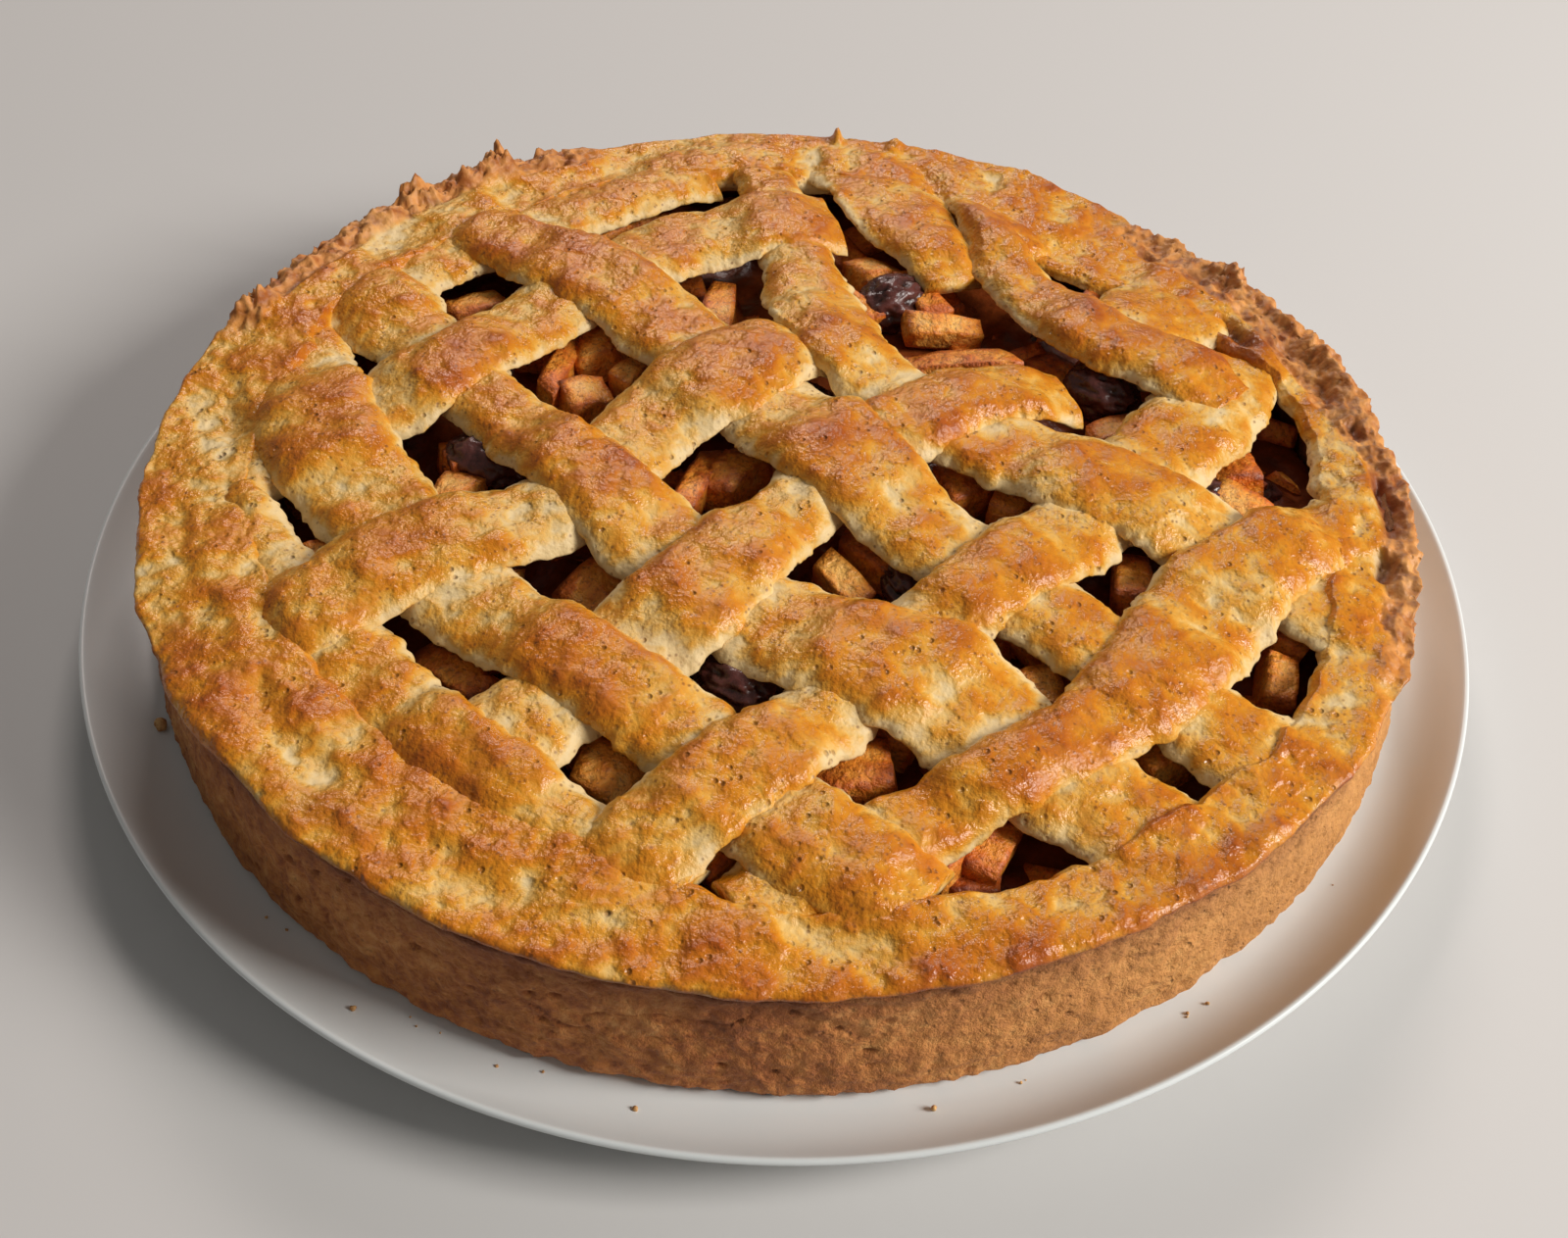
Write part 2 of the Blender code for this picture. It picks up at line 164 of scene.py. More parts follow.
# Its cross-section from the outer lip over the top to the inner fold: share of the way, and how
# far it is inside the outline, how far below the top, and which share of the way inwards it is.
RIM_INWARD = [
    (0.0, 3.4), (0.035, 1.1), (0.07, 0.1), (0.11, 0.0), (0.15, 0.55), (0.20, 2.0), (0.76, 0.0),
]
RIM_DROP = [
    (0.0, 2.7), (0.035, 2.2), (0.07, 1.4), (0.11, 0.65), (0.15, 0.2), (0.20, 0.0), (0.76, 0.0),
    (0.83, 1.1), (0.89, 3.0), (0.94, 4.4), (1.0, 5.2),
]
RIM_SHARE = [(0.20, 0.0), (0.76, 0.90), (0.84, 0.98), (0.89, 1.0), (0.94, 0.95), (1.0, 0.72)]
# Where its sandy, broken outer part begins: degrees round the pie from -180 to 180, distance out.
SANDY_FROM = [
    (-34, 119), (-18, 115.5), (0, 114.5), (8, 112), (20, 109.5), (45, 110), (56, 118),
    (112, 118), (118, 114.8), (165, 114.8), (170, 118),
]
# Crumbly peaks on it: degrees round the pie, height, half width in degrees, broken share.
PEAKS = [
    (128.2, 3.1, 3.4, 0.9), (136.8, 2.9, 2.0, 0.9), (120.0, 1.5, 2.8, 0.8), (144.0, 0.9, 3.0, 0.7),
    (153.0, 0.9, 3.6, 0.7), (161.5, 2.2, 1.6, 0.9), (125.9, 2.2, 0.6, 0.2), (85.8, 2.6, 0.5, 0.1),
    (79.0, 1.4, 0.9, 0.4), (62.0, 1.0, 2.6, 0.5), (34.0, 2.2, 3.0, 0.6), (20.0, 0.9, 2.0, 0.8),
]
# Torn hollows in it: degrees round the pie, distance out, half length, half width, depth.
HOLLOWS = [
    (-4.0, 116.4, 8.5, 2.0, 3.6), (-12.5, 115.0, 3.6, 1.7, 2.8), (26.0, 105.5, 6.0, 1.9, 2.8),
    (14.0, 114.5, 3.0, 1.6, 1.8), (36.5, 112.5, 3.4, 1.8, 2.0), (21.0, 113.0, 2.6, 1.5, 1.6),
    (7.0, 115.5, 2.8, 1.5, 1.8), (44.0, 111.0, 3.0, 1.6, 1.6),
]
# Spots on it caught by the heat: x, y, size.
BURNT = [
    (75, -93, 5), (62, -100, 6), (95, 37, 6), (101, 47, 5), (112, 20, 4), (-70, -94, 5),
    (-104, -56, 4),
]
# The wall's outside: share of its height, distance beyond the case's radius.
WALL_SECTION = [
    (0.0, 1.9), (0.03, 2.7), (0.07, 3.2), (0.3, 2.8), (0.6, 1.4), (0.84, 0.3), (0.92, 0.5),
    (0.96, -0.4), (1.0, -3.0),
]

# The dish's cross-section, radius and height: the well, its upturned side, the soft edge, the
# underside and the foot ring.
DISH_SIDE = [(124.6, 7.05), (126.4, 7.4), (128.4, 8.05), (130.4, 9.0), (132.2, 10.2)]
DISH_PROFILE = [(0.0, WELL_Z), (60.0, WELL_Z), (118.0, WELL_Z), (122.5, WELL_Z), *DISH_SIDE] + [
    (133.8, 11.55), (135.0, 12.8), (135.6, 13.45), (136.05, 13.86), (136.45, 14.0), (136.8, 13.84),
    (137.0, 13.4), (136.9, 12.9), (136.4, 12.1), (135.1, 10.6), (133.2, 9.0), (130.8, 7.5),
    (127.5, 5.9), (123.0, 4.7), (116.0, 3.7), (108.0, 3.0), (96.0, 2.6), (92.6, 2.4), (91.2, 1.9),
    (90.5, 0.9), (90.1, 0.3), (89.4, 0.0), (87.6, 0.0), (86.9, 0.3), (86.4, 1.2), (85.6, 2.2),
    (84.0, 2.6), (60.0, 2.6), (0.0, 2.6),
]
# Crumbs that show on it: degrees round the pie, distance from its middle, size.
CRUMBS = [
    (206.0, 125.0, 1.1), (240.0, 129.0, 0.45), (262.0, 127.5, 0.4), (283.0, 127.0, 0.5),
    (306.0, 126.5, 0.4),
]
CRUMBS_DRAWN = 24


def add_camera():
    """Seen from the front, 46 degrees up, rolled a little."""
    elevation, roll, far = math.radians(45.99), math.radians(2.85), 0.336
    target = Vector((0.00144, -0.01668, PIE_Z * MM - 0.0022))
    back = Vector((0.0, -math.cos(elevation), math.sin(elevation)))
    right = Vector((1.0, 0.0, 0.0))
    up = back.cross(right)
    turned_right = right * math.cos(roll) + up * math.sin(roll)
    turned_up = up * math.cos(roll) - right * math.sin(roll)
    turn = Matrix((turned_right, turned_up, back)).transposed().to_4x4()
    data = bpy.data.cameras.new("camera")
    data.lens = 38.25
    data.sensor_width = 36.0
    camera = bpy.data.objects.new("camera", data)
    bpy.context.scene.collection.objects.link(camera)
    camera.matrix_world = Matrix.Translation(target + back * far) @ turn
    bpy.context.scene.camera = camera


def ease(a, b, value):
    """0 up to a, 1 from b on, and an even curve between them."""
    t = np.clip((np.asarray(value, float) - a) / (b - a), 0.0, 1.0)
    return t * t * (3.0 - 2.0 * t)


def along_table(value, rows):
    """The table's second column where its first is that value."""
    return np.interp(value, *zip(*rows))


def around(radius, turn, z):
    """Points round the pie's middle, as x, y and z."""
    x = radius * np.cos(turn)
    return np.stack([x, radius * np.sin(turn), z + 0 * x], -1)


def hashed(i, j, k, seed):
    """A repeatable number from -1 to 1 for each whole place."""
    n = (i * 73856093) ^ (j * 19349663) ^ (k * 83492791) ^ (seed * 2654435761)
    n = (n ^ (n >> 13)) * 1274126177
    return ((n ^ (n >> 16)) & 0xFFFFFF) / float(0x7FFFFF) - 1.0


def lumps(points, size, seed):
    """Smooth value noise from -1 to 1 over points of shape (..., 3), with lumps of that size."""
    q = np.asarray(points, float) / size
    cell = np.floor(q).astype(np.int64)
    f = q - cell
    f = f * f * (3.0 - 2.0 * f)
    total = 0.0
    for corner in itertools.product((0, 1), repeat=3):
        weight = 1.0
        for k, far in enumerate(corner):
            weight = weight * (f[..., k] if far else 1 - f[..., k])
        total = total + weight * hashed(*(cell[..., k] + corner[k] for k in range(3)), seed)
    return total


TILT = np.array(
    Matrix.Rotation(0.9, 3, "Z") @ Matrix.Rotation(0.6, 3, "X") @ Matrix.Rotation(0.4, 3, "Y")
)


def rough(points, size, seed, octaves=3, keep=0.5):
    """Several sizes of lumps added up, each turned against the last so that no grid shows."""
    total, share = 0.0, 1.0
    turned = np.asarray(points, float) @ TILT.T
    for i in range(octaves):
        total = total + share * lumps(turned, size / 2.0 ** i, seed + i)
        turned = turned @ TILT.T
        share *= keep
    return total


def deselect():
    """Leaves edit mode with nothing selected."""
    if bpy.context.object and bpy.context.object.mode != "OBJECT":
        bpy.ops.object.mode_set(mode="OBJECT")
    bpy.ops.object.select_all(action="DESELECT")


def set_points(piece, points):
    """Moves a piece's vertices to points in mm."""
    metres = (np.asarray(points, float) * MM).astype(np.float32)
    piece.data.vertices.foreach_set("co", metres.ravel())
    piece.data.update()


def add_mask(piece, name, values):
    """One number from 0 to 1 a vertex, which the materials read by its name."""
    layer = piece.data.attributes.new(name, "FLOAT", "POINT")
    values = np.clip(np.asarray(values, float).ravel(), 0.0, 1.0)
    layer.data.foreach_set("value", values.astype(np.float32))


def dress(piece, look, node):
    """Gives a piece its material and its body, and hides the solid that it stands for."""
    piece.data.materials.append(look)
    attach(piece, "root")
    if node:
        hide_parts(node)
    return piece


def new_piece(name, points, edges, faces):
    """A mesh from points in mm, made the active object."""
    mesh = bpy.data.meshes.new(name)
    mesh.from_pydata((np.array(points) * MM).tolist(), edges, faces)
    piece = bpy.data.objects.new(name, mesh)
    bpy.context.scene.collection.objects.link(piece)
    deselect()
    bpy.context.view_layer.objects.active = piece
    piece.select_set(True)
    return piece


def edit_all():
    """Enters edit mode with all selected."""
    bpy.ops.object.mode_set(mode="EDIT")
    bpy.ops.mesh.select_all(action="SELECT")


def face_out(piece):
    """Turns all normals outward and leaves edit mode, shaded smooth."""
    bpy.ops.mesh.select_all(action="SELECT")
    bpy.ops.mesh.normals_make_consistent(inside=False)
    bpy.ops.object.mode_set(mode="OBJECT")
    piece.data.shade_smooth()


def wrapped_sheet(name, points, masks, closed_ends):
    """A grid laid out on points (rows, columns, 3), its first and last column joined."""
    rows, columns = points.shape[:2]
    deselect()
    bpy.ops.mesh.primitive_grid_add(x_subdivisions=columns, y_subdivisions=rows - 1, size=0.1)
    piece = bpy.context.object
    piece.name = piece.data.name = name
    closed = np.concatenate([points, points[:, :1]], axis=1)
    set_points(piece, closed.reshape(-1, 3))
    for key, values in masks.items():
        values = np.broadcast_to(values, (rows, columns))
        add_mask(piece, key, np.concatenate([values, values[:, :1]], axis=1))
    edit_all()
    bpy.ops.mesh.remove_doubles(threshold=0.000002)
    if closed_ends:
        bpy.ops.mesh.fill_holes(sides=0)
    face_out(piece)
    return piece


def dome(x, y):
    """1 in the pie's middle, falling to 0 at the lattice's edge."""
    return 1.0 - np.minimum((x * x + y * y) / LATTICE_RADIUS ** 2, 1.0)


def lattice_base(x, y):
    """Height of the lattice's underside where no strip crosses another."""
    return LATTICE_EDGE + LATTICE_RISE * dome(x, y)


def rim_height(turn):
    """Top of the crust's edge over the pie's base."""
    return 28.7 + 0.45 * np.sin(turn * 5.0 + 0.6) + 0.3 * np.sin(turn * 11.0 + 2.0)


def sheet_inner(turn):
    """How far in the pressed rim of dough reaches, round the pie."""
    return along_table(np.degrees(turn) % 360.0, RIM_REACH)


def sheet_height(turn, r):
    """Top of that rim, from the lattice's level inside to the edge outside."""
    out = ease(98.0, 118.0, r)
    return (LATTICE_EDGE + 3.5) * (1.0 - out) + (PIE_Z + rim_height(turn)) * out


def browned(x, y):
    """The oven's own pattern: darker at the back right, paler at the front left."""
    dark = np.exp(-((x - 72.0) ** 2 + (y - 74.0) ** 2) / 34.0 ** 2)
    pale = np.exp(-((x + 78.0) ** 2 + (y + 46.0) ** 2) / 40.0 ** 2)
    return 0.20 * dark - 0.09 * pale


def route(rows, step, reach):
    """Even points of a smooth curve through the rows, with direction and half width."""
    p = np.array(rows, float)
    ends = np.vstack([2 * p[0] - p[1], p, 2 * p[-1] - p[-2]])
    ends[0, 2] = p[0, 2]
    ends[-1, 2] = p[-1, 2]
    t = np.linspace(0.0, 1.0, 24, endpoint=False)[:, None]
    fine = []
    for a, b, c, d in zip(ends, ends[1:], ends[2:], ends[3:]):
        square, cube = 2 * a - 5 * b + 4 * c - d, 3 * b - a - 3 * c + d
        fine.append(0.5 * (2 * b + (c - a) * t + square * t ** 2 + cube * t ** 3))
    fine = np.vstack(fine + [p[-1:]])
    fine[:, 1] += SHIFT_AT_EDGE + SHIFT_ON_DOME * dome(fine[:, 0], fine[:, 1])
    run = np.concatenate([[0.0], np.cumsum(np.hypot(*np.diff(fine[:, :2], axis=0).T))])
    inside = np.hypot(fine[:, 0], fine[:, 1]) < reach
    first, last = run[inside][0], run[inside][-1]
    s = np.linspace(first, last, max(3, int(round((last - first) / step)) + 1))
    at = np.stack([np.interp(s, run, fine[:, k]) for k in range(3)], 1)
    along = np.gradient(at[:, :2], axis=0)
    along /= np.linalg.norm(along, axis=1)[:, None]
    return at, along, s


class Strip:
    """One strip of dough: its route, and the height of its bed once woven."""

    def __init__(self, name, rows):
        self.name = name
        self.at, self.along, self.run = route(rows, STRIP_STEP, CASE_RADIUS - 6.5)
        self.side = np.stack([-self.along[:, 1], self.along[:, 0]], 1)
        self.bottom = lattice_base(self.at[:, 0], self.at[:, 1])

    def top_at(self, q, margin):
        """The strip's top near points q, and from 1 to 0 how far they are within it."""
        gap = q[:, None, :] - self.at[None, ::3, :2]
        along = np.abs(np.einsum("ijk,jk->ij", gap, self.along[::3]))
        across = np.abs(np.einsum("ijk,jk->ij", gap, self.side[::3]))
        far = np.hypot(np.maximum(along - 1.5, 0.0), np.maximum(across - self.at[::3, 2], 0.0))
        out = far.min(axis=1)
        near = far <= out[:, None] + 0.6
        bed = np.where(near, self.bottom[None, ::3], -1000.0).max(axis=1)
        return bed + STRIP_THICKNESS, 1.0 - ease(margin, margin + FALL, out)

    def outside(self, q):
        """Distance beyond its edges, run on to the pie's edge; negative within."""
        rows = [self.at[::3]]
        for end, way in ((0, -1.0), (-1, 1.0)):
            if math.hypot(*self.at[end, :2]) > 96.0:
                more = np.repeat(self.at[end][None], 6, 0)
                more[:, :2] += way * 2.1 * np.arange(1, 7)[:, None] * self.along[end]
                rows.append(more)
        rows = np.vstack(rows)
        rows = rows[np.hypot(rows[:, 0], rows[:, 1]) > 84.0]
        if not len(rows):
            return np.full(len(q), 99.0)
        away = np.hypot(q[:, None, 0] - rows[:, 0], q[:, None, 1] - rows[:, 1])
        return (away - rows[:, 2]).min(axis=1)


def lift_over(strips, strip, q, base):
    """How far a strip is lifted at points q by the strips under it."""
    lift = np.zeros(len(q))
    for under in OVER.get(strip.name, []):
        top, inside = strips[under].top_at(q, 0.8)
        lift = np.maximum(lift, inside * (top + GAP - base))
    return lift


def weave(strips):
    """Settles each strip's bed over the strips under it, in a few rounds."""
    for _ in range(4):
        for strip in strips.values():
            base = lattice_base(strip.at[:, 0], strip.at[:, 1])
            lift = np.zeros(len(base))
            for u in (-0.9, 0.0, 0.9):
                q = strip.at[:, :2] + strip.side * (u * strip.at[:, 2:3])
                lift = np.maximum(lift, lift_over(strips, strip, q, base))
            strip.bottom = base + lift


def blurred(values, width):
    """Rows smoothed along the strip."""
    kernel = np.hanning(2 * width + 3)[1:-1]
    kernel /= kernel.sum()
    first, last = np.repeat(values[:1], width, 0), np.repeat(values[-1:], width, 0)
    padded = np.concatenate([first, values, last])
    return np.apply_along_axis(lambda v: np.convolve(v, kernel, mode="valid"), 0, padded)


def make_strip(strips, strip, seed, dough):
    """Crowned dough with soft uneven edges, sagging between crossings and pressed on to the rim."""
    n = len(strip.at)
    # The cross-section: u runs from -1 to 1 over the top and back below; crown is 0 below.
    u_top = np.sin(np.linspace(-0.5, 0.5, TOP_POINTS) * math.pi)
    u_low = np.linspace(0.93, -0.93, UNDER_POINTS)
    u = np.concatenate([u_top, u_low])[None, :]
    crown = (1.0 - np.abs(u_top) ** 3.4) ** 0.62 * 0.9 + 0.1
    crown = np.concatenate([crown, np.zeros(UNDER_POINTS)])[None, :]
    # The outline: each side of the strip wanders on its own.
    run = strip.run[:, None]
    side_by_side = [run + 0 * u, np.sign(u) * 40.0 + 0 * run, np.full((n, u.shape[1]), seed * 31.0)]
    here = np.stack(side_by_side, -1)
    wobble = 1.2 * lumps(here, 9.0, seed) + 0.65 * rough(here, 3.4, seed + 1, 3, 0.6)
    r_mid = np.hypot(strip.at[:, 0], strip.at[:, 1])[:, None]
    half = strip.at[:, 2:3] * (1.0 + 0.25 * ease(100.0, 114.0, r_mid))
    half = half + SPREAD.get(strip.name, USUAL_SPREAD)
    across = u * (half + wobble * np.abs(u) ** 2)
    xy = strip.at[:, None, :2] + strip.side[:, None, :] * across[..., None]
    # The height: sagging between its crossings, and pressed down where it meets the rim.
    flat = xy.reshape(-1, 2)
    base = lattice_base(flat[:, 0], flat[:, 1])
    lift = lift_over(strips, strip, flat, base).reshape(n, -1)
    base = base.reshape(n, -1)
    lift = blurred(0.6 * lift + 0.4 * lift[:, :TOP_POINTS].mean(axis=1)[:, None], 6)
    r = np.hypot(xy[..., 0], xy[..., 1])
    turn = np.arctan2(xy[..., 1], xy[..., 0])
    inner = sheet_inner(turn)
    onto = ease(inner - 6.0, inner + 5.0, r)
    far = ease(inner - 1.0, inner + 11.5, r)
    thick = STRIP_THICKNESS + 0.6
    from_end = np.minimum(run - strip.run[0], strip.run[-1] - run)
    tip = (1.0 - ease(0.0, 9.0, from_end)) * (1.0 - onto)
    free = base + 0.62 * lift - 0.4 - 2.4 * tip + crown * thick
    pressed = sheet_height(turn, r) + 0.30 * lift * (1.0 - far) + 1.2 - 3.6 * far
    pressed = pressed - (1.0 - crown) * 3.0
    z = free * (1.0 - onto) + pressed * onto
    # The relief of baked dough, finer on its torn sides.
    place = np.concatenate([xy, z[..., None]], -1)
    wide = rough(place, 13.0, seed + 3, 2)
    small = rough(place, 5.6, seed + 7, 3, 0.62)
    relief = 0.66 * wide + 0.5 * small + 0.16 * rough(place, 2.7, seed + 15, 2, 0.6)
    blisters = np.maximum(rough(place, 3.2, seed + 9, 2) - 0.55, 0.0)
    pits = np.maximum(rough(place, 2.2, seed + 11, 2) - 0.8, 0.0)
    up = ease(0.2, 0.9, crown)
    z = z + up * (relief + 0.5 * blisters - 0.9 * pits)
    place[..., 2] = z
    side_grain = (1.0 - up) * ease(-0.05, 0.1, crown) * 0.35
    side_grain = side_grain * rough(place, 2.0, seed + 13, 2)
    place[..., :2] += strip.side[:, None, :] * (np.sign(u) * side_grain)[..., None]
    limit = CASE_RADIUS - 4.0
    shrink = np.minimum(limit / np.maximum(r, 1.0), 1.0)
    place[..., :2] *= shrink[..., None]
    # The masks: pale edges, and browning on what stands up and isn't covered.
    edge = 1.0 - ease(0.25, 0.85, crown * np.ones_like(z))
    slope = np.abs(np.gradient(lift, axis=0)) / STRIP_STEP
    covered = np.zeros(n * u.shape[1])
    for over, unders in OVER.items():
        if strip.name in unders:
            covered = np.maximum(covered, strips[over].top_at(flat, -1.0)[1])
    covered = covered.reshape(n, -1)
    raised = 0.56 + 0.05 * lift + 0.2 * relief + 0.25 * blisters - 0.30 * slope
    raised = raised - 0.34 * covered * (1.0 - onto)
    raised = raised + browned(place[..., 0], place[..., 1])
    masks = {"edge": edge, "raised": raised}
    piece = wrapped_sheet("dough_" + strip.name, place, masks, True)
    return dress(piece, dough, "strip_" + strip.name)


def make_rim(strips, crust):
    """The strips' ends pressed into one edge with a dark lip, crumbly and torn in places."""
    columns, rows = 1200, 80
    turn = np.linspace(0.0, TAU, columns, endpoint=False)[None, :]
    degrees = np.degrees(turn)
    signed = (degrees + 180.0) % 360.0 - 180.0
    ring = around(118.0, turn, 0.0)
    # Its stretches: knobby at the back left, torn on the right, lower at the back.
    knobby = ease(112.0, 118.0, degrees) * (1.0 - ease(163.0, 169.0, degrees))
    right = ease(-34.0, -18.0, signed) * (1.0 - ease(44.0, 56.0, signed))
    back = ease(0.3, 0.75, np.sin(turn + 0.1)) * (1.0 - knobby)
    # Its outline and cross-section, with the strips' ends still standing up in it as bands.
    v = np.linspace(0.0, 1.0, rows)[:, None]
    inner = sheet_inner(turn) + 1.8 * rough(ring, 9.0, 47, 3)
    uneven = rough(ring, 15.0, 45, 2)
    outer = CASE_RADIUS + 1.9 - 1.6 * back - 0.9 * right + 0.8 * rough(ring, 11.0, 49, 3)
    outer = outer + 0.9 * right * uneven
    share = along_table(v, RIM_SHARE)
    radius = (outer - along_table(v, RIM_INWARD)) * (1.0 - share) + inner * share
    drop = along_table(v, RIM_DROP)
    flat = around(radius, turn, 0.0)[..., :2].reshape(-1, 2)
    beyond = np.min([strip.outside(flat) for strip in strips.values()], axis=0)
    beyond = beyond.reshape(radius.shape)
    band = 1.0 - ease(-3.5, 3.0, beyond)
    inside = 1.0 - ease(0.86, 0.95, v)
    level = 1.0 - ease(108.0, 118.5, radius)
    z = sheet_height(turn, radius) - drop - 0.9 * back + inside * level * (1.9 * band - 0.9)
    place = around(radius, turn, z)
    # Its relief: soft knobs on the glazed part; crumbs, peaks and torn hollows on the sandy part.
    wide = rough(place, 17.0, 51, 2)
    knobs = rough(place, 6.5, 53, 3, 0.6)
    fine = rough(place, 2.4, 57, 3, 0.65)
    crumbs = rough(place, 3.4, 63, 3, 0.7)
    grit = rough(place, 1.4, 55, 2, 0.6)
    starts = along_table(signed, SANDY_FROM)
    sandy = ease(starts - 1.2, starts + 0.8, radius + 0.9 * knobs)
    sandy = np.clip(knobby + right, 0.0, 1.0) * sandy
    spikes = 0.0 * turn
    for at, high, across, broken in PEAKS:
        clods = 1.0 - broken + broken * (0.62 + 0.8 * crumbs)
        spikes = spikes + high * np.exp(-np.abs((degrees - at) / across) ** 2.6) * clods
    behind = np.maximum(117.2 + 0.6 * knobs - radius, 0.0)
    spikes = spikes * (1.0 + 0.25 * fine) * np.exp(-behind ** 2 / 4.0)
    hollow = 0.0 * radius
    for at, out, half_long, half_wide, deep in HOLLOWS:
        along = np.radians(signed - at) * out / half_long
        across = (radius - out + 0.5 * knobs) / half_wide
        hollow = hollow + deep * np.exp(-along ** 4 - across ** 2) * (0.85 + 0.3 * crumbs)
    topside = ease(0.09, 0.2, v) * inside
    push = topside * (0.9 * wide + 0.42 * knobs + 0.12 * fine) * (1.0 - 0.5 * sandy)
    broken_up = 0.1 * fine + sandy * (0.7 * crumbs + 0.3 * fine + 0.32 * grit)
    push = push + inside * ease(0.0, 0.05, v) * broken_up
    crest = right * (0.7 + 1.7 * np.maximum(uneven, -0.4)) + 0.7 * knobby
    crest = crest * np.exp(-((radius - 118.4 - 0.9 * knobs) / 1.7) ** 2)
    sunk = 0.9 * sandy * topside * ease(-0.6, 0.6, uneven + 0.6 * wide)
    place[..., 2] += push + crest + spikes - sunk - hollow
    sideways = 0.25 * knobs + 0.15 * fine + sandy * (0.4 * crumbs + 0.3 * fine)
    sideways = np.exp(-((v - 0.09) / 0.07) ** 2) * sideways
    place[..., :2] *= (1.0 + sideways / radius)[..., None]
    # The masks: its dark lip, browned glaze with a painted shadow under its edge; burnt spots;
    # painted shade in the torn hollows; and browning on what stands up.
    lip = (1.0 - ease(0.07, 0.14, v + 0.03 * knobs)) * (0.9 + 0.3 * fine)
    lip = lip * (1.0 - 0.8 * sandy)
    burnt = 0.0 * radius
    for x, y, size in BURNT:
        burnt = burnt + np.exp(-((place[..., 0] - x) ** 2 + (place[..., 1] - y) ** 2) / size ** 2)
    burn_and_shade = np.clip(lip + 0.55 * burnt * (0.6 + 0.6 * knobs) + 0.42 * hollow, 0.0, 1.0)
    raised = 0.38 + 0.24 * band + 0.20 * wide + 0.24 * knobs + 0.10 * fine
    raised = raised + 0.20 * ease(113.0, 118.5, radius)
    raised = raised + browned(place[..., 0], place[..., 1])
    edge = 0.8 * ease(0.80, 0.88, v)
    masks = {"edge": edge, "raised": raised, "burn_and_shade": burn_and_shade, "sandy": sandy}
    piece = wrapped_sheet("crust_rim", place, masks, False)
    return dress(piece, crust, "crust_case")


def make_wall(baked):
    """The wall as it left the tin, crumbly, pitted and wider at its foot, and its plain inside."""
    columns, rows, inside_rows = 1150, 60, 6
    turn = np.linspace(0.0, TAU, columns, endpoint=False)[None, :]
    top = sheet_height(turn, 121.0) - PIE_Z
    v = np.append(np.linspace(0.0, 1.0, rows), np.ones(inside_rows))[:, None]
    down = np.append(np.zeros(rows), np.linspace(0.1, 1.0, inside_rows))[:, None]
    high = (top - 2.1) * v * (1.0 - 0.9 * down)
    bulge = 0.5 * np.sin(turn * 3.0 + 1.2) + 0.35 * np.sin(turn * 8.0)
    radius = CASE_RADIUS + along_table(v, WALL_SECTION) + 0.45 * bulge
    radius = radius - (CASE_RADIUS - 3.5 - CASE_INNER) * ease(0.0, 0.3, down)
    place = around(radius, turn, PIE_Z + high)
    crumb = 0.40 * rough(place, 6.0, 61, 3) + 0.34 * rough(place, 1.8, 67, 2)
    hollow = np.maximum(rough(place * [1, 1, 1.6], 3.2, 71, 2) - 0.80, 0.0) * 3.2
    crack_line = np.abs(rough(place * [1, 1, 2.2], 15.0, 73, 2))
    cracked = ease(0.5, 1.0, rough(place, 20.0, 79, 1) + 0.5)
    cracks = np.maximum(0.08 - crack_line, 0.0) * 5.0 * cracked
    place[..., :2] *= (1.0 + (crumb - hollow - cracks) / radius)[..., None]
    pale = ease(0.1, 0.95, np.cos(turn + 0.25))
    # The pit mask darkens the wall's pits and cracks: painted shade.
    masks = {"pit_and_crack_shade": hollow + cracks * 1.4, "height": v, "pale": pale}
    piece = wrapped_sheet("crust_wall", place, masks, False)
    return dress(piece, baked, "crust_case")


def make_base(baked):
    """The baked floor under the pie, out to the wall's foot."""
    deselect()
    middle = (0, 0, (PIE_Z + FLOOR_DEPTH / 2) * MM)
    bpy.ops.mesh.primitive_cylinder_add(
        vertices=360, radius=(CASE_RADIUS - 0.9) * MM, depth=FLOOR_DEPTH * MM, location=middle
    )
    piece = bpy.context.object
    piece.name = piece.data.name = "crust_base"
    bpy.ops.object.transform_apply(location=True, rotation=True, scale=True)
    edit_all()
    bpy.ops.mesh.bevel(offset=0.5 * MM, segments=2)
    bpy.ops.object.mode_set(mode="OBJECT")
    return dress(piece, baked, "crust_case")


def make_syrup(look):
    """The bed of soft filling seen dark between the pieces."""
    columns, rows = 360, 90
    turn = np.linspace(0.0, TAU, columns, endpoint=False)[None, :]
    v = np.linspace(0.0, 1.0, rows)[:, None]
    radius = np.maximum(CASE_INNER * (1.0 - v), 0.01) + 0.3
    place = around(radius, turn, 0.0)
    heaped = FILLING_Z - 3.0 + 2.0 * (1.0 - (radius / CASE_INNER) ** 2)
    place[..., 2] = heaped + 1.3 * rough(place, 8.0, 81, 3)
    place[0, :, 2] = FLOOR_Z
    piece = wrapped_sheet("syrup_bed", place, {}, True)
    return dress(piece, look, "filling")


def taken(made):
    """The points and faces of a bmesh, which is then freed."""
    points = np.array([v.co for v in made.verts])
    faces = [[v.index for v in f.verts] for f in made.faces]
    made.free()
    return points, faces


def ball(subdivisions):
    """Points and faces of a round ball of radius 1."""
    made = bmesh.new()
    bmesh.ops.create_icosphere(made, subdivisions=subdivisions, radius=1.0)
    return taken(made)


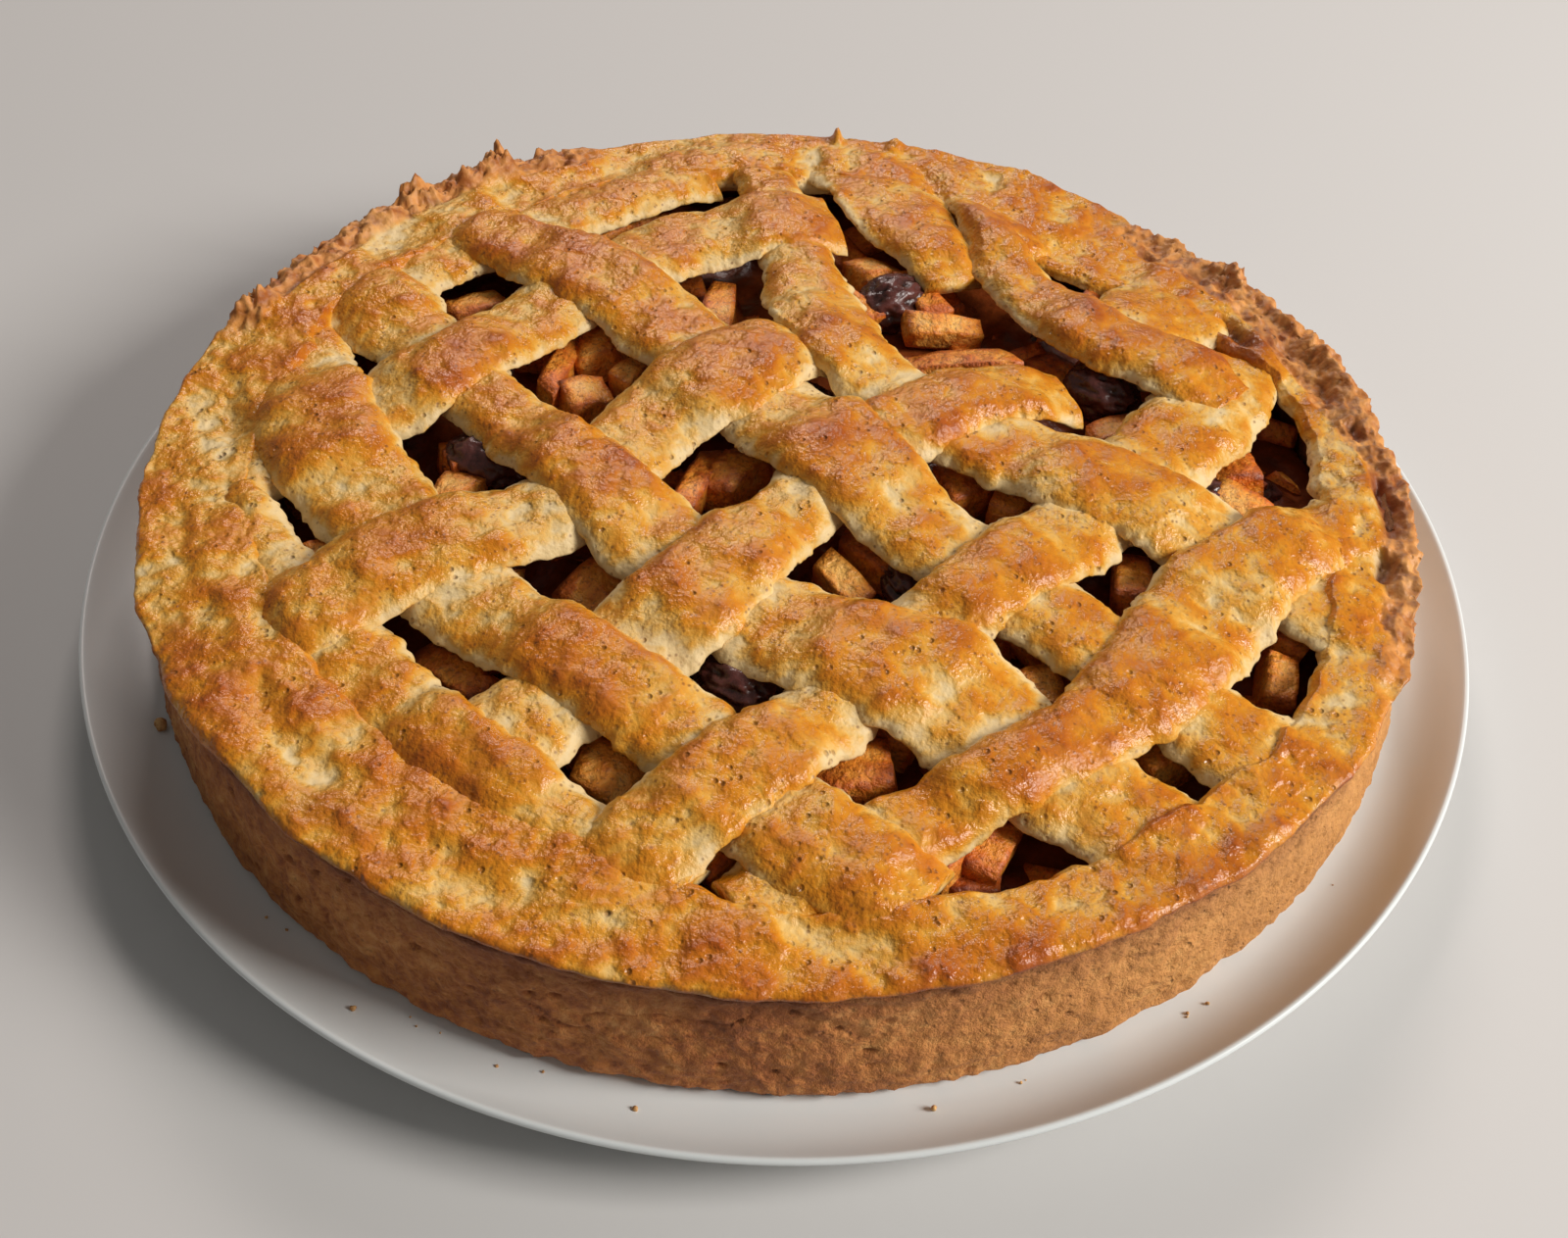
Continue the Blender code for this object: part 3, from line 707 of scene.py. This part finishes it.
def apple_block(long, short, high, rng):
    """One piece of cooked apple: a cut block with rounded, slightly shrunken faces."""
    made = bmesh.new()
    bmesh.ops.create_cube(made, size=1.0)
    bmesh.ops.subdivide_edges(made, edges=made.edges[:], cuts=5, use_grid_fill=True)
    points, faces = taken(made)
    points = points * 2.0
    seed = int(rng.integers(1, 9999))
    wedge = rng.uniform(-0.28, 0.28)
    skew = rng.uniform(-0.2, 0.2)
    rounding = np.abs(points).max(axis=1)
    corner = ease(0.55, 1.0, np.sort(np.abs(points), axis=1)[:, 1])
    sphere = points / np.linalg.norm(points, axis=1)[:, None] * 1.22
    points = points * 0.92 + sphere * 0.08
    points[:, 1] *= 1.0 + wedge * points[:, 0]
    points[:, 0] += skew * points[:, 1]
    points[:, 2] *= 1.0 - 0.18 * np.abs(points[:, 0]) + 0.1 * wedge
    points *= np.array([long, short, high]) * 0.5
    place = points + seed
    dents = np.stack([rough(place, 3.0, seed + k, 2) for k in (0, 5, 9)], 1)
    points += 0.28 * dents * rounding[:, None]
    return points, faces, corner


def joined(name, parts, look, node, masks):
    """Many small shapes as one mesh, each with its values for the masks."""
    verts, faces, values, count = [], [], {key: [] for key in masks}, 0
    for points, quads, marks in parts:
        verts.append(points)
        faces += [[i + count for i in quad] for quad in quads]
        for key in masks:
            values[key].append(np.broadcast_to(marks[key], len(points)))
        count += len(points)
    piece = new_piece(name, np.vstack(verts), [], faces)
    for key in masks:
        add_mask(piece, key, np.concatenate(values[key]))
    edit_all()
    face_out(piece)
    return dress(piece, look, node)


def leaning(angle, rng, **tips):
    """Turned by that angle about Z, then tipped at random about each axis named."""
    turn = Matrix.Rotation(angle, 3, "Z")
    for axis, most in tips.items():
        turn = turn @ Matrix.Rotation(rng.uniform(-most, most), 3, axis)
    return turn


def drawn_spot(reach, rng):
    """A random place within that distance of the pie's middle."""
    r, a = reach * math.sqrt(rng.uniform(0.0, 1.0)), rng.uniform(0.0, TAU)
    return r * math.cos(a), r * math.sin(a)


def placed(points, x, y, top, turn):
    """Turned, and moved so that its highest point is at that height over x, y."""
    points = np.asarray(points) @ np.array(turn).T
    points[:, 2] += top - points[:, 2].max()
    points[:, 0] += x
    points[:, 1] += y
    return points


def make_apple(look):
    """Apple pieces: those that show, where they show, and a drawn layer below them."""
    rng = np.random.default_rng(11)
    parts = []
    for x, y, long, short, degrees in APPLE:
        ceiling = float(lattice_base(x, y))
        turn = leaning(math.radians(degrees), rng, Y=0.25, X=0.3)
        points, faces, corner = apple_block(long, short, short * rng.uniform(0.8, 1.05) + 2.0, rng)
        top = min(ceiling - rng.uniform(0.4, 2.4), FILLING_Z + 7.0)
        points = placed(points, x, y, top, turn)
        parts.append((points, faces, {"shade": rng.uniform(0.0, 0.65), "corner": corner}))
    for _ in range(APPLE_DRAWN):
        x, y = drawn_spot(106.0, rng)
        turn = leaning(rng.uniform(0, TAU), rng, Y=0.6, X=0.6)
        long, short, high = rng.uniform(9, 17), rng.uniform(6, 10), rng.uniform(6, 9)
        points, faces, corner = apple_block(long, short, high, rng)
        points = placed(points, x, y, FILLING_Z + rng.uniform(-3.0, 2.2), turn)
        parts.append((points, faces, {"shade": rng.uniform(0.3, 1.0), "corner": corner}))
    return joined("apple_pieces", parts, look, "filling", ("shade", "corner"))


def make_raisins(look):
    """Wrinkled raisins: those that show just under the lattice, and drawn ones deeper down."""
    rng = np.random.default_rng(23)
    rows = [(x, y, 1.4 if large else 1.0, -0.9 if large else 0.9) for x, y, large in RAISINS]
    for _ in range(RAISINS_DRAWN):
        rows.append((*drawn_spot(100.0, rng), rng.uniform(0.7, 1.0), rng.uniform(6.0, 9.0)))
    parts = []
    for x, y, size, down in rows:
        unit, faces = ball(5 if down < 3 else 4)
        seed = int(rng.integers(1, 9999))
        folds = 1.0 - np.abs(rough(unit * [1.0, 1.6, 1.6] + seed, 0.55, seed, 3, 0.55))
        points = unit * (0.86 + 0.17 * folds[:, None]) * np.array(RAISIN) * size
        turn = leaning(rng.uniform(0, TAU), rng, X=0.3)
        ceiling = float(lattice_base(x, y))
        points = placed(points, x, y, ceiling - down, turn)
        # The fold mask darkens the skin in its creases: painted shade.
        parts.append((points, faces, {"fold_shade": folds * 0.5 + 0.3}))
    return joined("raisins", parts, look, "filling", ("fold_shade",))


def make_dish(look):
    """The serving dish, its profile turned round the middle."""
    edges = [(i, i + 1) for i in range(len(DISH_PROFILE) - 1)]
    piece = new_piece("serving_dish", [(x, 0.0, z) for x, z in DISH_PROFILE], edges, [])
    edit_all()
    bpy.ops.mesh.spin(steps=300, angle=TAU, center=(0, 0, 0), axis=(0, 0, 1))
    bpy.ops.mesh.select_all(action="SELECT")
    bpy.ops.mesh.remove_doubles(threshold=0.00001)
    face_out(piece)
    return dress(piece, look, "dish")


def make_crumbs(look):
    """A few crumbs that fell on the dish beside the wall, and stand for no solid."""
    rng = np.random.default_rng(5)
    spots = list(CRUMBS)
    for _ in range(CRUMBS_DRAWN):
        spots.append((rng.uniform(0, 360), 124.8 + rng.exponential(1.2), rng.uniform(0.15, 0.32)))
    parts = []
    for degrees, r, size in spots:
        r = min(r, 130.0)
        unit, faces = ball(2)
        seed = int(rng.integers(1, 9999))
        lumpy = (1.0 + 0.35 * lumps(unit + seed, 0.7, seed))[:, None]
        points = unit * lumpy * size * rng.uniform(0.7, 1.2, 3)
        ground = float(along_table(r, DISH_SIDE))
        a = math.radians(degrees)
        points[:, 2] -= points[:, 2].min()
        points += [r * math.cos(a), r * math.sin(a), ground - 0.1]
        parts.append((points, faces, {}))
    return joined("fallen_crumbs", parts, look, None, ())


# Materials. In their trees, lengths are in metres, so noise of scale 500 has lumps of about 2 mm.
def new_material(name):
    """A material, its node tree, and where a point lies on the object, in metres."""
    made = bpy.data.materials.new(name)
    made.use_nodes = True
    tree = made.node_tree
    return made, tree, tree.nodes.new("ShaderNodeTexCoord").outputs["Object"]


def node(tree, kind, **values):
    """A node with those values on its sockets, a space in a socket's name written as _."""
    made = tree.nodes.new(kind)
    for key, value in values.items():
        made.inputs[key.replace("_", " ")].default_value = value
    return made


def finish(made, colour, roughness, **rest):
    """Puts numbers, colours or outputs on the sockets of a material's shader."""
    rest.update(Base_Color=colour, Roughness=roughness)
    shader = made.node_tree.nodes["Principled BSDF"]
    for key, value in rest.items():
        feed(made.node_tree, shader.inputs[key.replace("_", " ")], value)
    return made


def join(tree, a, b):
    tree.links.new(a, b)


def feed(tree, socket, value):
    """Puts a number, a colour or another node's output on a socket."""
    if isinstance(value, tuple):
        socket.default_value = (*value, 1.0)
    elif isinstance(value, (int, float)):
        socket.default_value = value
    else:
        join(tree, value, socket)


def maths(tree, operation, a, b, clamp=False):
    made = tree.nodes.new("ShaderNodeMath")
    made.operation = operation
    made.use_clamp = clamp
    feed(tree, made.inputs[0], a)
    feed(tree, made.inputs[1], b)
    return made.outputs[0]


def times(tree, a, b):
    return maths(tree, "MULTIPLY", a, b)


def plus(tree, a, b, clamp=False):
    return maths(tree, "ADD", a, b, clamp)


def less(tree, a, b):
    return maths(tree, "SUBTRACT", a, b)


def spread(tree, value, low, high, to_low=0.0, to_high=1.0):
    """Stretches low to high over the new range, and holds the ends."""
    span = {"From_Min": low, "From_Max": high, "To_Min": to_low, "To_Max": to_high}
    made = node(tree, "ShaderNodeMapRange", **span)
    made.clamp = True
    tree.links.new(value, made.inputs["Value"])
    return made.outputs["Result"]


def ramp(tree, value, stops):
    """A colour for each value, from stops of place and colour."""
    made = tree.nodes.new("ShaderNodeValToRGB")
    while len(made.color_ramp.elements) < len(stops):
        made.color_ramp.elements.new(0.5)
    for element, (place, colour) in zip(made.color_ramp.elements, stops):
        element.position = place
        element.color = (*colour, 1.0)
    tree.links.new(value, made.inputs["Fac"])
    return made.outputs["Color"]


def mixed(tree, share, a, b):
    """Colour a with that share of b in it."""
    made = tree.nodes.new("ShaderNodeMix")
    made.data_type = "RGBA"
    feed(tree, made.inputs["Factor"], share)
    feed(tree, made.inputs["A"], a)
    feed(tree, made.inputs["B"], b)
    return made.outputs["Result"]


def noise(tree, where, scale, detail=3.0, roughness=0.55):
    made = node(tree, "ShaderNodeTexNoise", Scale=scale, Detail=detail, Roughness=roughness)
    join(tree, where, made.inputs["Vector"])
    return made.outputs["Fac"]


def dots(tree, where, scale, low, high):
    """Round spots, 1 in their middle, one in each cell."""
    made = node(tree, "ShaderNodeTexVoronoi", Scale=scale, Randomness=1.0)
    join(tree, where, made.inputs["Vector"])
    return spread(tree, made.outputs["Distance"], low, high, 1.0, 0.0)


def mask(tree, name):
    """What add_mask wrote under that name."""
    made = tree.nodes.new("ShaderNodeAttribute")
    made.attribute_name = name
    return made.outputs["Fac"]


def crumb_group():
    """Baked grain: fine crumb, small pits and spice specks."""
    group = bpy.data.node_groups.new("baked_grain", "ShaderNodeTree")
    group.interface.new_socket("Place", in_out="INPUT", socket_type="NodeSocketVector")
    for name in ("Crumb", "Pits", "Specks"):
        group.interface.new_socket(name, in_out="OUTPUT", socket_type="NodeSocketFloat")
    place = group.nodes.new("NodeGroupInput").outputs["Place"]
    leave = group.nodes.new("NodeGroupOutput")
    where_pits = spread(group, noise(group, place, 170.0, 1.0), 0.52, 0.62)
    where_specks = spread(group, noise(group, place, 260.0, 2.0), 0.46, 0.58)
    pits = times(group, dots(group, place, 420.0, 0.10, 0.26), where_pits)
    specks = times(group, dots(group, place, 700.0, 0.12, 0.30), where_specks)
    join(group, noise(group, place, 950.0, 3.0, 0.55), leave.inputs["Crumb"])
    join(group, pits, leave.inputs["Pits"])
    join(group, specks, leave.inputs["Specks"])
    return group


def grain(tree, group, place):
    """The shared baked grain: crumb, pits and specks."""
    made = tree.nodes.new("ShaderNodeGroup")
    made.node_tree = group
    join(tree, place, made.inputs["Place"])
    return made.outputs["Crumb"], made.outputs["Pits"], made.outputs["Specks"]


def bump(tree, height, strength, distance, normal=None):
    made = node(tree, "ShaderNodeBump", Strength=strength, Distance=distance)
    join(tree, height, made.inputs["Height"])
    if normal is not None:
        join(tree, normal, made.inputs["Normal"])
    return made.outputs["Normal"]


# Dough from cream, in the dips, over gold to well browned.
DOUGH_TONES = [
    (0.00, (0.77, 0.57, 0.28)), (0.15, (0.75, 0.47, 0.140)), (0.30, (0.73, 0.36, 0.048)),
    (0.48, (0.66, 0.245, 0.012)), (0.72, (0.56, 0.165, 0.007)), (1.00, (0.41, 0.090, 0.006)),
]
SANDY_TONES = [(0.36, (0.33, 0.095, 0.020)), (0.62, (0.72, 0.33, 0.10))]
# The second colour here is painted shade in small pits.
# The third colour here is burnt crust, and also painted shadow under the lip and painted shade in
# the torn hollows.
SPICE, PIT_SHADE, BURNT_AND_SHADED = (0.17, 0.05, 0.014), (0.30, 0.10, 0.022), (0.20, 0.040, 0.008)
WALL_TONES = [
    (0.0, (0.68, 0.33, 0.10)), (0.35, (0.53, 0.19, 0.042)), (0.65, (0.34, 0.095, 0.019)),
    (1.0, (0.14, 0.036, 0.009)),
]
WALL_SPECK, WALL_PALE = (0.16, 0.05, 0.018), (0.76, 0.40, 0.12)
# Painted shade towards the wall's top, and a painted shadow just under the lip.
WALL_TOP_SHADE, WALL_LIP_SHADOW = (0.24, 0.065, 0.014), (0.11, 0.022, 0.006)
CRUMB_TONES = [(0.35, (0.40, 0.17, 0.05)), (0.65, (0.74, 0.45, 0.18))]
APPLE_TONES = [
    (0.0, (0.92, 0.50, 0.12)), (0.3, (0.88, 0.32, 0.035)), (0.6, (0.64, 0.145, 0.012)),
    (1.0, (0.22, 0.032, 0.005)),
]
CINNAMON = (0.18, 0.04, 0.012)
SYRUP_TONES = [(0.3, (0.07, 0.013, 0.004)), (0.7, (0.24, 0.05, 0.008))]
RAISIN_TONES = [(0.1, (0.020, 0.007, 0.006)), (0.45, (0.12, 0.034, 0.027))]
PORCELAIN_TONES = [(0.3, (0.72, 0.755, 0.755)), (0.7, (0.74, 0.775, 0.775))]


def glazed_dough(name, group, with_lip):
    """Shortcrust under egg wash: gold where brushed and browned, cream in the dips."""
    made, tree, place = new_material(name)
    crumb, pits, specks = grain(tree, group, place)
    wide = noise(tree, place, 62.0, 3.0, 0.6)
    patches = noise(tree, place, 135.0, 2.0, 0.5)
    middle = noise(tree, place, 330.0, 2.0, 0.5)
    brushed = noise(tree, place, 110.0, 3.0, 0.6)
    tone = times(tree, mask(tree, "raised"), 0.80)
    tone = plus(tree, tone, spread(tree, wide, 0.30, 0.70, -0.20, 0.22))
    tone = plus(tree, tone, spread(tree, patches, 0.38, 0.62, -0.15, 0.14))
    tone = plus(tree, tone, spread(tree, middle, 0.34, 0.66, -0.10, 0.10))
    tone = less(tree, tone, times(tree, mask(tree, "edge"), 0.40))
    tone = plus(tree, tone, spread(tree, crumb, 0.25, 0.75, -0.06, 0.06), clamp=True)
    colour = ramp(tree, tone, DOUGH_TONES)
    colour = mixed(tree, times(tree, specks, 0.65), colour, SPICE)
    # Painted shade in the small pits.
    colour = mixed(tree, times(tree, pits, 0.5), colour, PIT_SHADE)
    streaks = spread(tree, brushed, 0.38, 0.50, 0.45, 1.0)
    glaze = times(tree, spread(tree, tone, 0.08, 0.34), streaks)
    if with_lip:
        # Sandy crust, then the dark mask: burnt crust, with painted shadow under the lip and
        # painted shade in the hollows.
        sandy, burn_and_shade = mask(tree, "sandy"), mask(tree, "burn_and_shade")
        crumbly = ramp(tree, middle, SANDY_TONES)
        colour = mixed(tree, times(tree, sandy, 0.85), colour, crumbly)
        colour = mixed(tree, times(tree, burn_and_shade, 0.85), colour, BURNT_AND_SHADED)
        glaze = times(tree, glaze, spread(tree, sandy, 0.2, 0.8, 1.0, 0.1))
    shine = spread(tree, glaze, 0.0, 1.0, 0.55, 0.26)
    first = bump(tree, patches, 0.8, 0.0015)
    second = bump(tree, middle, 0.6, 0.0009, first)
    fine = times(tree, crumb, spread(tree, glaze, 0.0, 1.0, 0.5, 1.0))
    relief = bump(tree, less(tree, fine, pits), 0.8, 0.0005, second)
    return finish(made, colour, shine, Normal=relief, Specular_IOR_Level=0.45)


def baked_wall(group):
    """Dry, sandy crust, paler on the right, with painted shade towards the top and a painted shadow
    under the lip.
    """
    made, tree, place = new_material("baked_wall")
    crumb, pits, specks = grain(tree, group, place)
    wide = noise(tree, place, 55.0, 4.0, 0.6)
    middle = noise(tree, place, 430.0, 5.0, 0.7)
    high = mask(tree, "height")
    tone = spread(tree, middle, 0.28, 0.72, -0.2, 0.5)
    tone = plus(tree, spread(tree, wide, 0.3, 0.7, 0.08, 0.5), tone)
    # Painted shade in the wall's pits and cracks.
    tone = plus(tree, tone, times(tree, mask(tree, "pit_and_crack_shade"), 0.5), clamp=True)
    colour = ramp(tree, tone, WALL_TONES)
    colour = mixed(tree, times(tree, specks, 0.5), colour, WALL_SPECK)
    colour = mixed(tree, times(tree, mask(tree, "pale"), 0.5), colour, WALL_PALE)
    # Painted shade: darker towards the wall's top, and a patchy painted shadow just under the lip.
    colour = mixed(tree, spread(tree, high, 0.60, 0.86, 0.0, 0.45), colour, WALL_TOP_SHADE)
    patchy = spread(tree, wide, 0.36, 0.60, 0.30, 0.85)
    lip_shadow = times(tree, spread(tree, high, 0.84, 0.95), patchy)
    colour = mixed(tree, lip_shadow, colour, WALL_LIP_SHADOW)
    height = less(tree, crumb, times(tree, pits, 0.9))
    relief = bump(tree, height, 0.8, 0.0005, bump(tree, middle, 0.8, 0.0014))
    return finish(made, colour, spread(tree, crumb, 0.2, 0.8, 0.62, 0.85), Normal=relief)


def golden_crumb():
    """Crumbs of the same crust, lighter where they broke."""
    made, tree, place = new_material("golden_crumb")
    bits = noise(tree, place, 1100.0, 3.0, 0.6)
    dull = spread(tree, bits, 0.3, 0.7, 0.65, 0.85)
    relief = bump(tree, bits, 0.6, 0.0004)
    return finish(made, ramp(tree, bits, CRUMB_TONES), dull, Normal=relief)


def cooked_apple():
    """Soft apple soaked in brown juice, darker at its corners, dusted with cinnamon."""
    made, tree, place = new_material("cooked_apple")
    fibre = noise(tree, place, 500.0, 4.0, 0.6)
    wide = noise(tree, place, 120.0, 3.0, 0.6)
    tone = times(tree, mask(tree, "shade"), 0.45)
    tone = plus(tree, tone, spread(tree, wide, 0.3, 0.7, -0.12, 0.42))
    tone = plus(tree, tone, spread(tree, fibre, 0.3, 0.7, -0.16, 0.16), clamp=True)
    tone = plus(tree, tone, times(tree, mask(tree, "corner"), 0.30), clamp=True)
    colour = ramp(tree, tone, APPLE_TONES)
    spice = noise(tree, place, 1300.0, 2.0)
    colour = mixed(tree, spread(tree, spice, 0.54, 0.66, 0.0, 0.5), colour, CINNAMON)
    moist = spread(tree, wide, 0.3, 0.7, 0.30, 0.55)
    relief = bump(tree, fibre, 0.9, 0.0014, bump(tree, wide, 0.7, 0.0018))
    return finish(made, colour, moist, Normal=relief, Coat_Weight=0.08, Coat_Roughness=0.25)


def dark_syrup():
    """Thick brown juice."""
    made, tree, place = new_material("dark_syrup")
    wide = noise(tree, place, 150.0, 3.0, 0.6)
    colour = ramp(tree, wide, SYRUP_TONES)
    sticky = spread(tree, wide, 0.3, 0.7, 0.25, 0.5)
    relief = bump(tree, noise(tree, place, 600.0, 3.0), 0.5, 0.0006)
    return finish(made, colour, sticky, Normal=relief, Specular_IOR_Level=0.25)


def raisin_skin():
    """Purple black skin, lighter on its ridges and darker in its folds as painted shade, with a
    dull shine.
    """
    made, tree, place = new_material("raisin_skin")
    wide = noise(tree, place, 400.0, 3.0)
    colour = ramp(tree, times(tree, mask(tree, "fold_shade"), wide), RAISIN_TONES)
    shine = spread(tree, wide, 0.3, 0.7, 0.24, 0.36)
    relief = bump(tree, noise(tree, place, 900.0, 3.0), 0.5, 0.0005)
    return finish(made, colour, shine, Normal=relief, Specular_IOR_Level=0.5)


def porcelain():
    """Cool white glazed porcelain with a soft shine."""
    made, tree, place = new_material("porcelain")
    colour = ramp(tree, noise(tree, place, 30.0, 2.0), PORCELAIN_TONES)
    shine = spread(tree, noise(tree, place, 240.0, 3.0), 0.3, 0.7, 0.33, 0.37)
    relief = bump(tree, noise(tree, place, 60.0, 1.0), 0.04, 0.0004)
    coat = {"Coat_Weight": 0.04, "Coat_Roughness": 0.15, "Specular_IOR_Level": 0.25}
    return finish(made, colour, shine, Normal=relief, **coat)


def add_floor():
    """A plain pale floor."""
    deselect()
    bpy.ops.mesh.primitive_plane_add(size=6.0, location=(0, 0, 0))
    floor = bpy.context.object
    floor.name = "floor"
    made = finish(new_material("pale_floor")[0], (0.62, 0.61, 0.60), 0.9)
    floor.data.materials.append(made)


def add_light(name, place, size, power, colour):
    """A soft rectangular lamp, aimed at the pie."""
    data = bpy.data.lights.new(name, "AREA")
    data.shape = "RECTANGLE"
    data.size, data.size_y = size
    data.energy = power
    data.color = colour
    lamp = bpy.data.objects.new(name, data)
    bpy.context.scene.collection.objects.link(lamp)
    lamp.location = place
    lamp.rotation_mode = "QUATERNION"
    lamp.rotation_quaternion = (Vector(place) - Vector((0, 0, 0.03))).to_track_quat("Z", "Y")


def add_lights():
    """Window light from the right, weaker light from behind, and the room's own."""
    add_light("window", (1.0, -0.24, 0.66), (0.42, 0.42), 16.2, (1.0, 0.96, 0.91))
    add_light("sky", (-0.08, 1.2, 1.0), (0.50, 0.28), 8.5, (1.0, 0.90, 0.85))
    world = bpy.data.worlds.new("soft_room")
    world.use_nodes = True
    background = world.node_tree.nodes["Background"]
    background.inputs["Color"].default_value = (1.0, 0.97, 0.93, 1.0)
    background.inputs["Strength"].default_value = 0.15
    bpy.context.scene.world = world
    bpy.context.scene.view_settings.view_transform = "Standard"


add_camera()
baked_grain = crumb_group()
dough = glazed_dough("glazed_dough", baked_grain, False)
crust = glazed_dough("glazed_rim", baked_grain, True)
wall = baked_wall(baked_grain)
strips = {name: Strip(name, rows) for name, rows in STRIPS.items()}
weave(strips)
for number, strip in enumerate(strips.values()):
    make_strip(strips, strip, 100 + 17 * number, dough)
make_rim(strips, crust)
make_wall(wall)
make_base(wall)
make_syrup(dark_syrup())
make_apple(cooked_apple())
make_raisins(raisin_skin())
make_dish(porcelain())
make_crumbs(golden_crumb())
add_floor()
add_lights()
